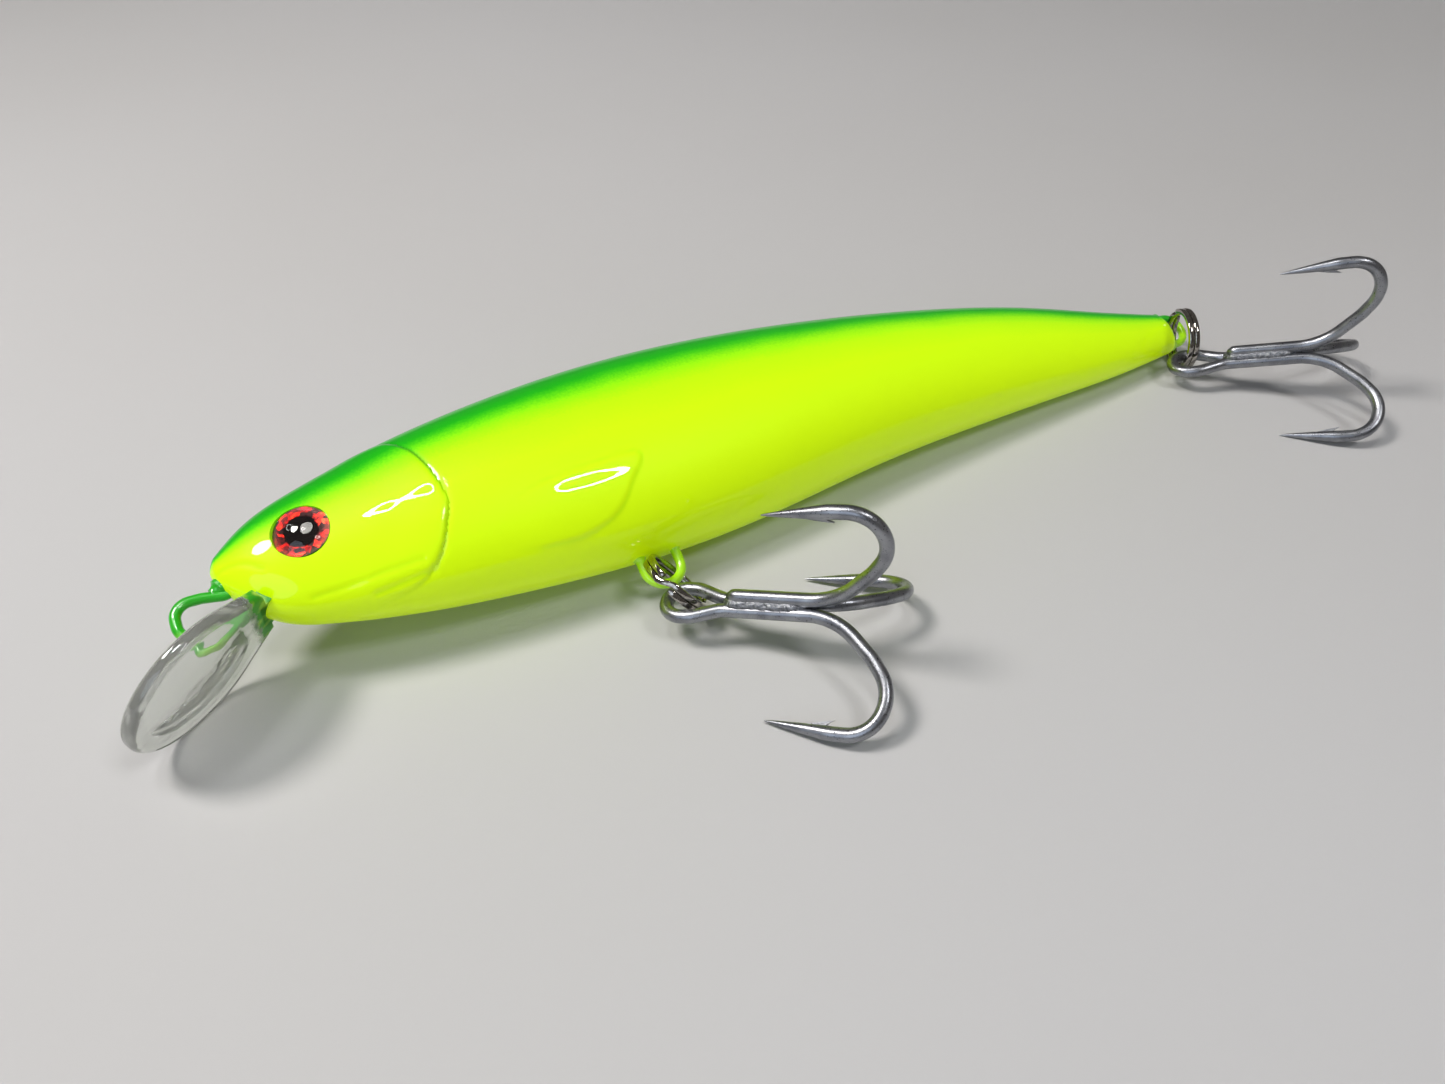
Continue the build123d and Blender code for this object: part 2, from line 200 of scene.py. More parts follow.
def placed(name, data):
    """A new object in the scene."""
    made = bpy.data.objects.new(name, data)
    bpy.context.scene.collection.objects.link(made)
    return made


def new_piece(name, shape, place, body, material, hides=(), sharp=40, marks=None):
    """A mesh piece from a shape in mm, put in place, smooth but for its sharp edges, on its body.
    Marks are numbers that its material reads, worked out from its points before they are placed."""
    points, faces = shape
    mesh = bpy.data.meshes.new(name)
    mesh.from_pydata([Vector(p) * MM for p in points], [], faces)
    for mark, work_out in (marks or {}).items():
        store(mesh, mark, work_out(np.array(points, float)))
    mesh.transform(place)
    piece = placed(name, mesh)
    refresh(piece, sharp)
    mesh.materials.append(material)
    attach(piece, body)
    if hides:
        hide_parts(*hides)
    return piece


def store(mesh, name, values):
    """Keeps one number for each point of a mesh."""
    layer = mesh.attributes.new(name, "FLOAT", "POINT")
    layer.data.foreach_set("value", values.astype(np.float32))


def refresh(piece, sharp=40):
    """Outward faces, smooth shading and sharp edges above an angle."""
    made = bmesh.new()
    made.from_mesh(piece.data)
    bmesh.ops.recalc_face_normals(made, faces=made.faces)
    limit = math.radians(sharp)
    for face in made.faces:
        face.smooth = True
    for edge in made.edges:
        edge.smooth = not (len(edge.link_faces) == 2 and edge.calc_face_angle() > limit)
    made.to_mesh(piece.data)
    made.free()


# ================================================================ material helpers

def linear(code):
    """An sRGB hex colour as linear RGBA."""
    parts = [int(code[i:i + 2], 16) / 255 for i in (0, 2, 4)]
    return [c / 12.92 if c <= 0.04045 else ((c + 0.055) / 1.055) ** 2.4 for c in parts] + [1.0]


def add(tree, kind, inputs=None, stops=None, **settings):
    """Adds a node with its settings, its ramp stops and its values or links."""
    made = tree.nodes.new("ShaderNode" + kind)
    for name, value in settings.items():
        setattr(made, name, value)
    for key, value in (inputs or {}).items():
        if isinstance(value, bpy.types.NodeSocket):
            tree.links.new(value, made.inputs[key])
        else:
            made.inputs[key].default_value = value
    if stops:
        elements = made.color_ramp.elements
        while len(elements) < len(stops):
            elements.new(1.0)
        for element, (place, code) in zip(elements, stops):
            element.position = place
            element.color = linear(code)
    return made


def new_material(name):
    """An empty material with its principled shader."""
    made = bpy.data.materials.new(name)
    made.use_nodes = True
    tree = made.node_tree
    tree.nodes.clear()
    shader = add(tree, "BsdfPrincipled")
    add(tree, "OutputMaterial", {"Surface": shader.outputs[0]})
    return made, tree, shader


def set_sockets(shader, **values):
    """Uniform numbers and colours, set on the shader's own sockets, and links from other nodes."""
    for name, value in values.items():
        socket = shader.inputs[name.replace("_", " ")]
        if isinstance(value, bpy.types.Node):
            shader.id_data.links.new(value.outputs[0], socket)
        else:
            socket.default_value = value


def per(size_mm):
    """Pattern scale for a feature of this size in mm, on coordinates in metres."""
    return 1 / (size_mm * MM)


# ================================================================ materials

# Fluorescent green fading to chartreuse, by the angle round the body, from 0 at the back to 1 at the belly
PAINT_FADE = [
    (0.000, "029204"), (0.215, "049C05"), (0.262, "12A805"), (0.288, "35BC03"), (0.314, "5ED202"),
    (0.350, "90E800"), (0.405, "B6F400"), (0.500, "C8F800"), (0.700, "CDF600"), (1.000, "D2F600"),
]
# dark green of the crease lines: painted shade, and in the gill groove partly a real painted line
CREASE_PAINT_AND_SHADE_GREEN = "1E8A0A"


def lacquered_paint():
    """Airbrushed fluorescent paint under glossy clear coat: a faint emission in the paint's own colour is a
    painted glow for its fluorescence. It has a faint overspray grain where the colours fade into each other
    and sharp glints from the coat; its creases are darkened with painted shade, the gill groove partly with a
    real painted line."""
    made, tree, shader = new_material("airbrushed fluorescent lacquer")
    place = add(tree, "TexCoord").outputs["Object"]
    around = add(tree, "Attribute", attribute_name="around").outputs["Fac"]
    drift = add(tree, "TexNoise", {"Vector": place, "Scale": per(9), "Detail": 2.0})
    # real overspray is finer: this is as fine as the render can show
    spray = add(tree, "TexNoise", {"Vector": place, "Scale": per(0.35), "Detail": 1.0})
    sway = add(tree, "Math", {0: drift.outputs[0], 1: 0.5}, operation="SUBTRACT")
    sway = add(tree, "Math", {0: sway.outputs[0], 1: 0.030, 2: around}, operation="MULTIPLY_ADD")
    dust = add(tree, "Math", {0: spray.outputs[0], 1: 0.5}, operation="SUBTRACT")
    fade = add(tree, "Math", {0: dust.outputs[0], 1: 0.030, 2: sway.outputs[0]}, operation="MULTIPLY_ADD")
    paint = add(tree, "ValToRGB", {"Fac": fade.outputs[0]}, stops=PAINT_FADE)
    # the creases' dark green: painted shade, in the gill groove partly a real painted line
    crease_paint_and_shade = add(tree, "Attribute", attribute_name="crease_paint_and_shade").outputs["Fac"]
    paint_and_crease_shade = add(tree, "MixRGB", {"Fac": crease_paint_and_shade, "Color1": paint.outputs[0], "Color2": linear(CREASE_PAINT_AND_SHADE_GREEN)})
    ripple = add(tree, "TexNoise", {"Vector": place, "Scale": per(3.5), "Detail": 1.0})
    peel = add(tree, "Bump", {"Height": ripple.outputs[0], "Strength": 0.06, "Distance": 0.0002})
    # the faint emission in the paint's own colour is a painted glow that stands in for fluorescence
    set_sockets(shader, Base_Color=paint_and_crease_shade, Emission_Color=paint_and_crease_shade, Coat_Normal=peel, Roughness=0.45,
                Specular_IOR_Level=0.12, Emission_Strength=0.20, Coat_Weight=0.6, Coat_Roughness=0.015)
    return made


def painted_wire_lacquer():
    """The same lacquer dipped on wire: green at the nose and the tail's top, chartreuse elsewhere, lumpy,
    with dark chips at the line tie, and a faint emission in its colour that is a painted glow."""
    made, tree, shader = new_material("lacquered spring wire")
    place = add(tree, "TexCoord").outputs["Object"]
    upright = UPRIGHT.inverted()
    turned = add(tree, "Mapping", {"Vector": place, "Location": upright.to_translation(),
                                   "Rotation": upright.to_euler()}, vector_type="POINT")
    parts = add(tree, "SeparateXYZ", {"Vector": turned.outputs[0]})
    blotch = add(tree, "TexNoise", {"Vector": place, "Scale": per(1.6), "Detail": 2.0})
    high = add(tree, "MapRange", {"Value": parts.outputs["Z"], "From Min": -0.0095, "From Max": -0.0055})
    nose = add(tree, "MapRange", {"Value": parts.outputs["X"], "From Min": 0.010, "From Max": 0.004})
    green = add(tree, "Math", {0: high.outputs[0], 1: nose.outputs[0]}, operation="MULTIPLY")
    tail_high = add(tree, "MapRange", {"Value": parts.outputs["Z"], "From Min": 0.0002, "From Max": 0.0022})
    tail_part = add(tree, "MapRange", {"Value": parts.outputs["X"], "From Min": 0.150, "From Max": 0.156})
    tail_green = add(tree, "Math", {0: tail_high.outputs[0], 1: tail_part.outputs[0]}, operation="MULTIPLY")
    green = add(tree, "Math", {0: green.outputs[0], 1: tail_green.outputs[0]}, operation="MAXIMUM")
    paint = add(tree, "ValToRGB", {"Fac": green.outputs[0]}, stops=[(0.1, "A6E404"), (0.75, "1EAA0C")])
    worn = add(tree, "ValToRGB", {"Fac": blotch.outputs[0]}, stops=[(0.66, "000000"), (0.70, "FFFFFF")])
    chip = add(tree, "Math", {0: worn.outputs[0], 1: nose.outputs[0]}, operation="MULTIPLY")
    coat = add(tree, "MixRGB", {"Fac": chip.outputs[0], "Color1": paint.outputs[0],
                                "Color2": linear("171A12")})
    lumps = add(tree, "Bump", {"Height": blotch.outputs[0], "Strength": 0.35, "Distance": 0.0003})
    # the faint emission in the wire's colour is a painted glow
    set_sockets(shader, Base_Color=coat, Emission_Color=coat, Normal=lumps, Roughness=0.35,
                Emission_Strength=0.06, Coat_Weight=1.0, Coat_Roughness=0.04)
    return made


def moulded_polycarbonate():
    """Injection-moulded clear polycarbonate: bends what lies behind it, slightly hazy from scuffs,
    frosted and ragged with overspray at its root."""
    made, tree, shader = new_material("clear moulded polycarbonate")
    place = add(tree, "TexCoord").outputs["Object"]
    root = add(tree, "Attribute", attribute_name="root").outputs["Fac"]
    ragged = add(tree, "TexNoise", {"Vector": place, "Scale": per(2.2), "Detail": 5.0, "Roughness": 0.65})
    edge = add(tree, "Math", {0: ragged.outputs[0], 1: 0.9, 2: root}, operation="MULTIPLY_ADD")
    frost = add(tree, "MapRange", {"Value": edge.outputs[0], "From Min": 0.95, "From Max": 1.15})
    film = add(tree, "MapRange", {"Value": edge.outputs[0], "From Min": 1.20, "From Max": 1.26})
    tint = add(tree, "TexNoise", {"Vector": place, "Scale": per(1.8), "Detail": 2.0})
    film_colour = add(tree, "ValToRGB", {"Fac": tint.outputs[0]}, stops=[(0.42, "2FA01E"), (0.6, "A5D64A")])
    cloud = add(tree, "MixRGB", {"Fac": frost.outputs[0], "Color1": linear("F4F6F1"),
                                 "Color2": linear("D5DDD0")})
    colour = add(tree, "MixRGB", {"Fac": film.outputs[0], "Color1": cloud.outputs[0],
                                  "Color2": film_colour.outputs[0]})
    clear = add(tree, "MapRange", {"Value": film.outputs[0], "To Min": 0.88, "To Max": 0.0})
    scuffs = add(tree, "TexNoise", {"Vector": place, "Scale": per(0.5), "Detail": 3.0})
    haze = add(tree, "MapRange", {"Value": scuffs.outputs[0], "From Min": 0.5, "From Max": 0.8,
                                  "To Min": 0.01, "To Max": 0.07})
    rough = add(tree, "Math", {0: frost.outputs[0], 1: 0.35, 2: haze.outputs[0]}, operation="MULTIPLY_ADD")
    wave = add(tree, "TexNoise", {"Vector": place, "Scale": per(4), "Detail": 2.0})
    flow = add(tree, "Bump", {"Height": wave.outputs[0], "Strength": 0.18, "Distance": 0.0006})
    set_sockets(shader, Base_Color=colour, Transmission_Weight=clear, Roughness=rough, Normal=flow,
                IOR=1.585)
    return made


def holographic_foil():
    """Pressed red foil with a printed black pupil: crumpled facets whose bright and dark glints are partly
    painted into the colour, and a dark ring of painted shade round its edge.
    """
    made, tree, shader = new_material("holographic red foil")
    place = add(tree, "TexCoord").outputs["Object"]
    radius = add(tree, "Attribute", attribute_name="radius").outputs["Fac"]
    facets = add(tree, "TexVoronoi", {"Vector": place, "Scale": per(0.75), "Randomness": 1.0})
    grain = add(tree, "TexNoise", {"Vector": place, "Scale": per(0.28), "Detail": 3.0})
    cell = add(tree, "SeparateColor", {"Color": facets.outputs["Color"]})
    # each facet's colour, from near black to bright, is partly painted glints; the bumped facets add real
    # ones
    facet_glints = add(tree, "Math", {0: cell.outputs[0], 1: grain.outputs[0]}, operation="MULTIPLY")
    iris = add(tree, "ValToRGB", {"Fac": facet_glints.outputs[0]}, stops=[
        (0.12, "240001"), (0.26, "6A0203"), (0.40, "C00904"), (0.56, "FF3A18")])
    jitter = add(tree, "Math", {0: grain.outputs[0], 1: 0.35, 2: radius}, operation="MULTIPLY_ADD")
    pupil = add(tree, "MapRange", {"Value": jitter.outputs[0], "From Min": 2.2, "From Max": 2.05})
    # the dark ring at the foil's edge is painted shade of the gap round the eye
    rim = add(tree, "MapRange", {"Value": jitter.outputs[0], "From Min": 3.35, "From Max": 3.7})
    dark = add(tree, "Math", {0: pupil.outputs[0], 1: rim.outputs[0]}, operation="MAXIMUM")
    colour = add(tree, "MixRGB", {"Fac": dark.outputs[0], "Color1": iris.outputs[0],
                                  "Color2": linear("060303")})
    metal = add(tree, "Math", {0: 0.75, 1: dark.outputs[0]}, operation="SUBTRACT", use_clamp=True)
    creases = add(tree, "Bump", {"Height": cell.outputs[0], "Strength": 0.6, "Distance": 0.0002})
    shine = add(tree, "Math", {0: 0.5, 1: dark.outputs[0]}, operation="SUBTRACT", use_clamp=True)
    set_sockets(shader, Base_Color=colour, Metallic=metal, Normal=creases, Specular_IOR_Level=shine,
                Roughness=0.35)
    return made


def cast_lens():
    """Clear epoxy dome poured over the foil: a wet, magnifying glint."""
    made, tree, shader = new_material("clear cast epoxy")
    place = add(tree, "TexCoord").outputs["Object"]
    wave = add(tree, "TexNoise", {"Vector": place, "Scale": per(2.5), "Detail": 1.0})
    flow = add(tree, "Bump", {"Height": wave.outputs[0], "Strength": 0.05, "Distance": 0.0003})
    tint = add(tree, "MixRGB", {"Fac": wave.outputs[0], "Color1": linear("FFFFFF"),
                                "Color2": linear("F8FBFA")})
    set_sockets(shader, Normal=flow, Base_Color=tint, Roughness=0.0, IOR=1.5, Transmission_Weight=1.0)
    return made


def tinned_steel():
    """Tin-plated hook wire: satin grey with fine grain, pits, and darker patches of stain."""
    made, tree, shader = new_material("tin plated hook wire")
    place = add(tree, "TexCoord").outputs["Object"]
    stain = add(tree, "TexNoise", {"Vector": place, "Scale": per(2.6), "Detail": 4.0})
    # the plating's real grain is finer: this is as fine as the render can show
    grain = add(tree, "TexNoise", {"Vector": place, "Scale": per(0.22), "Detail": 2.0})
    tone = add(tree, "ValToRGB", {"Fac": stain.outputs[0]}, stops=[
        (0.30, "808288"), (0.52, "989A9F"), (0.75, "AAACB0")])
    speck = add(tree, "ValToRGB", {"Fac": grain.outputs[0]}, stops=[(0.24, "9A9A9A"), (0.38, "FFFFFF")])
    colour = add(tree, "MixRGB", {"Fac": 1.0, "Color1": tone.outputs[0], "Color2": speck.outputs[0]},
                 blend_type="MULTIPLY")
    rough = add(tree, "MapRange", {"Value": grain.outputs[0], "From Min": 0.3, "From Max": 0.7,
                                   "To Min": 0.26, "To Max": 0.40})
    pits = add(tree, "Bump", {"Height": grain.outputs[0], "Strength": 0.15, "Distance": 0.00006})
    set_sockets(shader, Base_Color=colour, Roughness=rough, Normal=pits, Metallic=1.0)
    return made


def brazed_solder():
    """Braze metal run between the shanks under the same plating: lumpy and grainy."""
    made, tree, shader = new_material("grainy braze metal")
    place = add(tree, "TexCoord").outputs["Object"]
    lumps = add(tree, "TexNoise", {"Vector": place, "Scale": per(0.55), "Detail": 4.0, "Roughness": 0.6})
    tone = add(tree, "ValToRGB", {"Fac": lumps.outputs[0]}, stops=[
        (0.33, "66686D"), (0.55, "94969B"), (0.72, "C4C5C8")])
    grain = add(tree, "Bump", {"Height": lumps.outputs[0], "Strength": 0.8, "Distance": 0.0004})
    set_sockets(shader, Base_Color=tone, Normal=grain, Metallic=1.0, Roughness=0.36)
    return made


def nickel_wire():
    """Bright black-nickel plating on flat spring wire, with fine drawn lines along the coils."""
    made, tree, shader = new_material("nickel plated spring wire")
    place = add(tree, "TexCoord").outputs["Object"]
    # real drawn lines are finer: these are as fine as the render can show
    drawn = add(tree, "TexNoise", {"Vector": place, "Scale": per(0.30), "Detail": 2.0})
    tone = add(tree, "ValToRGB", {"Fac": drawn.outputs[0]}, stops=[(0.3, "8C8780"), (0.7, "BDB8B0")])
    lines = add(tree, "Bump", {"Height": drawn.outputs[0], "Strength": 0.10, "Distance": 0.00006})
    set_sockets(shader, Base_Color=tone, Normal=lines, Metallic=1.0, Roughness=0.09)
    return made


def plain_metal(name, dark, light, roughness, grain_mm):
    """A hidden metal piece: cast or ground, with the grain of that finish."""
    made, tree, shader = new_material(name)
    place = add(tree, "TexCoord").outputs["Object"]
    grain = add(tree, "TexNoise", {"Vector": place, "Scale": per(grain_mm), "Detail": 3.0})
    tone = add(tree, "ValToRGB", {"Fac": grain.outputs[0]}, stops=[(0.35, dark), (0.65, light)])
    relief = add(tree, "Bump", {"Height": grain.outputs[0], "Strength": 0.2, "Distance": 0.0001})
    set_sockets(shader, Base_Color=tone, Normal=relief, Metallic=1.0, Roughness=roughness)
    return made


def lacquered_table():
    """Pale satin-lacquered table top: smooth and matt-looking, with a faint unevenness."""
    made, tree, shader = new_material("pale lacquered board")
    place = add(tree, "TexCoord").outputs["Object"]
    cloud = add(tree, "TexNoise", {"Vector": place, "Scale": per(1000 / 3), "Detail": 2.0})
    tone = add(tree, "ValToRGB", {"Fac": cloud.outputs[0]}, stops=[(0.3, "BAB9B8"), (0.7, "C1C1C2")])
    set_sockets(shader, Base_Color=tone, Roughness=0.60, Specular_IOR_Level=0.12)
    return made


# ================================================================ body

def outline_at(x):
    """Back height, belly depth and half width of the body at x, in mm."""
    share = x / BODY_LENGTH
    top = spline(OUTLINE[:, 0], OUTLINE[:, 1], share) * BACK_HEIGHT
    bottom = spline(OUTLINE[:, 0], OUTLINE[:, 2], share) * BELLY_DEPTH
    side = spline(OUTLINE[:, 0], OUTLINE[:, 3], share) * HALF_WIDTH
    return top, bottom, side


NOSE_ROUND = 0.9
TAIL_ROUND = 1.4
SIDES = 208

# Lines moulded in each flank, seen from the side: (x, z)
GILL_EDGE = [(23.0, 11.6), (24.9, 9.7), (27.0, 6.8), (28.1, 4.0), (28.9, 0.9), (29.2, -1.3), (29.1, -2.7),
             (28.3, -4.7), (27.3, -6.9), (26.0, -8.6), (24.6, -9.8), (22.4, -10.7), (20.0, -11.0)]
JAW_LINES = [[(24.3, -8.0), (19.7, -8.0), (14.2, -8.2), (10.8, -8.1)],
             [(25.4, -9.5), (22.0, -9.7), (18.0, -9.9)]]
MOUTH_LINE = [(0.6, -1.0), (2.2, -0.9), (4.2, -1.5), (6.0, -2.9)]
FIN_OUTLINE = [(33.0, -8.0), (36.0, -5.0), (41.4, -3.1), (45.3, -2.7), (49.6, -2.4), (54.0, -2.1),
               (55.4, -2.8), (54.6, -4.6), (53.3, -6.0), (52.1, -7.6), (50.2, -9.3), (47.1, -10.5),
               (44.0, -11.0), (40.8, -10.9), (36.5, -10.2)]

# Height or depth, and width or half width, of each moulded detail, then how dark and how wide the painted
# shade along its crease is
PLATE_RISE, PLATE_REACH = 0.30, 7.0
GROOVE_DEPTH, GROOVE_WIDTH, GROOVE_SHADE_WIDTH = 0.16, 0.40, 0.27
LINE_DEPTH, LINE_WIDTH, LINE_SHADE, LINE_SHADE_WIDTH = 0.10, 0.45, 0.10, 0.30
FIN_RISE, FIN_EDGE, FIN_SHADE, FIN_SHADE_WIDTH = 0.17, 0.9, 0.10, 0.25


def curve_through(points, parts=8):
    """A smooth run of points through the given ones."""
    points = np.array(points, float)
    steps = lengths_along(points)
    t = np.linspace(0, steps[-1], parts * len(points))
    return np.stack([spline(steps, points[:, k], t) for k in range(2)], 1)


def on_flank(line):
    """The side-view line laid on the left flank, as points in space."""
    top, bottom, side = outline_at(line[:, 0])
    height = np.clip((line[:, 1] - (top - bottom) / 2) / ((top + bottom) / 2), -0.995, 0.995)
    return np.stack([line[:, 0], side * np.sqrt(1 - height ** 2), line[:, 1]], 1)


def distance_to(points, line):
    """Distance of each point to a line of points in space, and the nearest segment's index."""
    best = np.full(len(points), 1e9)
    index = np.zeros(len(points), int)
    for i, (a, b) in enumerate(zip(line, line[1:])):
        run = b - a
        t = np.clip((points - a) @ run / (run @ run), 0, 1)
        gap = np.linalg.norm(points - a - t[:, None] * run, axis=1)
        nearer = gap < best
        best[nearer], index[nearer] = gap[nearer], i
    return best, index


def bell(gap, width):
    """1 on a line, fading to nothing at a few widths from it."""
    return np.exp(-(gap / width) ** 2)


def side_of(points, line, index):
    """1 where a point lies on the right of the side-view line, going along it, and -1 on its left."""
    a, b = line[index], line[index + 1]
    run, off = b - a, points[:, [0, 2]] - a
    return np.sign(off[:, 0] * run[:, 1] - off[:, 1] * run[:, 0])


def flank_relief(points):
    """Height of the moulded detail above the plain form, and how dark its creases are painted at each point:
    painted shade, in the gill groove partly a real painted line.
    """
    flank = points.copy()
    flank[:, 1] = np.abs(flank[:, 1])
    relief = np.zeros(len(points))
    dark = np.zeros(len(points))
    gill = curve_through(GILL_EDGE)
    gap, index = distance_to(flank, on_flank(gill))
    on_plate = side_of(flank, gill, index) > 0
    # the gill's relief dies away before it reaches the back, the belly and the snout
    fade = smooth_step((flank[:, 2] + 12.0) / 4) * smooth_step((11.4 - flank[:, 2]) / 2) * (flank[:, 0] > 12)
    plate = PLATE_RISE * smooth_step(1 - gap / PLATE_REACH) * on_plate
    relief += fade * (plate - GROOVE_DEPTH * bell(gap, GROOVE_WIDTH))
    # the gill groove's dark line, partly a real painted line and partly painted shade, is darker towards the
    # back
    strength = 0.18 + 0.82 * smooth_step((flank[:, 2] + 2.5) / 7)
    dark = np.maximum(dark, fade * strength * bell(gap, GROOVE_SHADE_WIDTH))
    for line in JAW_LINES + [MOUTH_LINE]:
        gap, _ = distance_to(flank, on_flank(curve_through(line)))
        relief -= LINE_DEPTH * bell(gap, LINE_WIDTH)
        # painted shade along the jaw and mouth lines
        dark = np.maximum(dark, LINE_SHADE * bell(gap, LINE_SHADE_WIDTH))
    fin = curve_through(FIN_OUTLINE + FIN_OUTLINE[:1])
    gap, _ = distance_to(flank, on_flank(fin))
    inside = np.zeros(len(points), bool)
    for a, b in zip(fin, fin[1:]):
        crosses = (a[1] > flank[:, 2]) != (b[1] > flank[:, 2])
        reach = a[0] + (flank[:, 2] - a[1]) * (b[0] - a[0]) / (b[1] - a[1] + 1e-12)
        inside ^= crosses & (flank[:, 0] < reach)
    signed = np.where(inside, gap, -gap)
    emerging = smooth_step((flank[:, 0] - 35.0) / 9)
    relief += FIN_RISE * emerging * smooth_step((signed + 0.25) / FIN_EDGE)
    # painted shade round the fin's edge
    dark = np.maximum(dark, FIN_SHADE * emerging * bell(gap, FIN_SHADE_WIDTH))
    return relief, dark


def body_form():
    """Grid of points round the whole body, with a pole at the nose and one at the tail."""
    nose = NOSE_ROUND * (1 - np.cos(np.linspace(0.12, math.pi / 2, 10)))
    head = np.arange(NOSE_ROUND + 0.25, 60, 0.25)
    rear = np.linspace(60, BODY_LENGTH - TAIL_ROUND, 140)
    tail = BODY_LENGTH - TAIL_ROUND + TAIL_ROUND * np.sin(np.linspace(0.15, math.pi / 2, 9))
    xs = np.concatenate([nose, head, rear, tail])
    top, bottom, side = outline_at(xs)
    near_nose = np.sqrt(1 - (1 - np.clip(xs / NOSE_ROUND, 0, 1)) ** 2)
    past = np.clip(xs - (BODY_LENGTH - TAIL_ROUND), 0, TAIL_ROUND)
    inset = TAIL_ROUND - np.sqrt(TAIL_ROUND ** 2 - past ** 2)
    angle = np.array(angles(SIDES))
    half = ((top + bottom) / 2 - inset) * near_nose
    width = (side - inset) * near_nose
    y = width[:, None] * np.sin(angle)
    z = ((top - bottom) / 2)[:, None] + half[:, None] * np.cos(angle)
    points = np.stack([np.repeat(xs[:, None], SIDES, 1), y, z], 2).reshape(-1, 3)
    slope = np.stack([np.zeros_like(y), np.sin(angle) * half[:, None], np.cos(angle) * width[:, None]], 2)
    outward = slope.reshape(-1, 3) / np.linalg.norm(slope.reshape(-1, 3), axis=1)[:, None]
    relief, _ = flank_relief(points)
    points = points + outward * relief[:, None]
    poles = [(0.0, 0, (top[0] - bottom[0]) / 2), (BODY_LENGTH, 0, (top[-1] - bottom[-1]) / 2)]
    return with_poles(points, poles, len(xs), SIDES)


EYE_SEAT_RADIUS = 3.66
EYE_SEAT_DEPTH = 1.1
CUT_ABOVE = 2.0
EYE_YAW = math.radians(13)
EYE_TILT = math.radians(5)
FOIL_THICKNESS = 0.3


def eye_frame(side_name):
    """Row-frame placing of an eye: origin on its seat, z out of the head. Local units are metres."""
    sign = -1 if side_name == "left" else 1
    out = Vector((-math.sin(EYE_YAW), sign * math.cos(EYE_YAW) * math.cos(EYE_TILT), math.sin(EYE_TILT)))
    turn = (LYING.to_3x3() @ out).to_track_quat("Z", "Y").to_matrix().to_4x4()
    seat = Matrix.Translation((0, 0, -FOIL_THICKNESS / 2 * MM))
    return Matrix.Translation(middle(side_name + "_eye_foil")) @ turn @ seat


def lathe(profile, sides=64):
    """Closed turned shape from (radius, height) pairs that start and end on the axis."""
    rims = profile[1:-1]
    points = [(radius * math.cos(angle), radius * math.sin(angle), height)
              for radius, height in rims for angle in angles(sides)]
    return with_poles(points, [(0, 0, profile[0][1]), (0, 0, profile[-1][1])], len(rims), sides)


def cut_seat(piece, seat):
    """Cuts the round eye seat out of the body mesh."""
    depth = EYE_SEAT_DEPTH + CUT_ABOVE
    cutter_shape = lathe([(0, 0), (EYE_SEAT_RADIUS, 0), (EYE_SEAT_RADIUS, depth), (0, depth)], 96)
    mesh = bpy.data.meshes.new("seat cutter")
    mesh.from_pydata([Vector(p) * MM for p in cutter_shape[0]], [], cutter_shape[1])
    cutter = placed("seat cutter", mesh)
    cutter.matrix_world = seat
    cut = piece.modifiers.new("seat", "BOOLEAN")
    cut.operation = "DIFFERENCE"
    cut.solver = "EXACT"
    cut.object = cutter
    bpy.context.view_layer.update()
    shaped = piece.evaluated_get(bpy.context.evaluated_depsgraph_get())
    result = bpy.data.meshes.new_from_object(shaped)
    piece.modifiers.remove(cut)
    piece.data = result
    bpy.data.objects.remove(cutter)


def paint_marks(piece):
    """Stores on the body, for its paint, the angle round from the back, and the painted shade in its creases
    with the gill groove's partly real painted line.
    """
    upright = UPRIGHT.inverted()
    points = np.array([upright @ v.co for v in piece.data.vertices]) / MM
    top, bottom, side = outline_at(np.clip(points[:, 0], 0.3, BODY_LENGTH))
    height = (points[:, 2] - (top - bottom) / 2) / ((top + bottom) / 2)
    angle = np.degrees(np.arctan2(np.abs(points[:, 1]) / side, height)) / 180
    # the green comes lower down the flank towards the tail's end
    tail = 0.045 * smooth_step((points[:, 0] - 118) / 34)
    store(piece.data, "around", angle - tail)
    store(piece.data, "crease_paint_and_shade", flank_relief(points)[1])


# ================================================================ eyes, lip

EYE_RADIUS = 3.6
FOIL_EDGE = 0.2
PUPIL_DENT = 0.05
LENS_RIM = 0.4
LENS_CROWN = 1.3
LENS_GAP = 0.01


def foil_disc():
    """Pressed foil: a shallow crater for the pupil, a turned-down rim."""
    dent = FOIL_THICKNESS - PUPIL_DENT
    profile = [(0, 0), (EYE_RADIUS, 0), (EYE_RADIUS, FOIL_EDGE), (3.45, FOIL_THICKNESS),
               (2.2, FOIL_THICKNESS), (2.0, dent), (1.0, dent), (0, dent)]
    return lathe(profile, 72)


def lens_dome():
    """Poured dome with a rounded shoulder, sitting on the foil."""
    ball = (EYE_RADIUS ** 2 + LENS_CROWN ** 2) / (2 * LENS_CROWN)
    base = FOIL_THICKNESS + LENS_GAP
    widest = math.asin(EYE_RADIUS / ball)
    profile = [(0, base), (EYE_RADIUS - 0.02, base), (EYE_RADIUS, base + LENS_RIM * 0.7)]
    for k in range(1, 25):
        angle = widest * (1 - k / 24)
        height = base + LENS_RIM + LENS_CROWN - ball + ball * math.cos(angle)
        profile.append((ball * math.sin(angle), height))
    return lathe(profile, 72)


